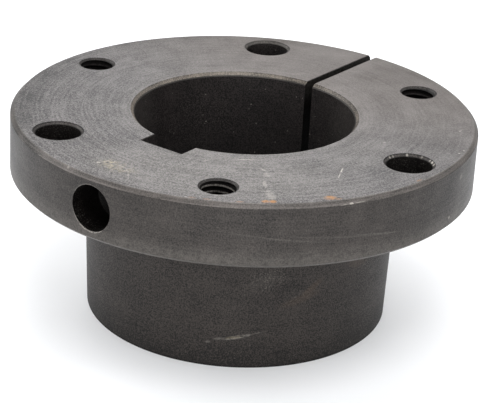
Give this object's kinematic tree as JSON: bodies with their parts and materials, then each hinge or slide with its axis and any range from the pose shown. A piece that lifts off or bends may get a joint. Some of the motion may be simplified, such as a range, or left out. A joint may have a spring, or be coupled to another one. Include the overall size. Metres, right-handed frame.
{
  "type": "quick disconnect bushing",
  "caption": "Split tapered shaft bushing with a round drilled flange, a keyed bore, a slit down one side and a set screw hole in the rim; clamps a sheave or sprocket hub to a shaft.",
  "frame": {"origin": "centre of the barrel's foot, on the bore's axis", "axes": "+Z along the bore's axis from the barrel's foot to the flange's face; -Y towards the keyway and the set screw hole; +Y towards the slit"},
  "size_m": [0.1174, 0.1174, 0.0524],
  "materials": {
    "dark_iron": "machined, dark phosphate"
  },
  "bodies": {
    "root": {"bushing": "dark_iron"}
  },
  "joints": []
}
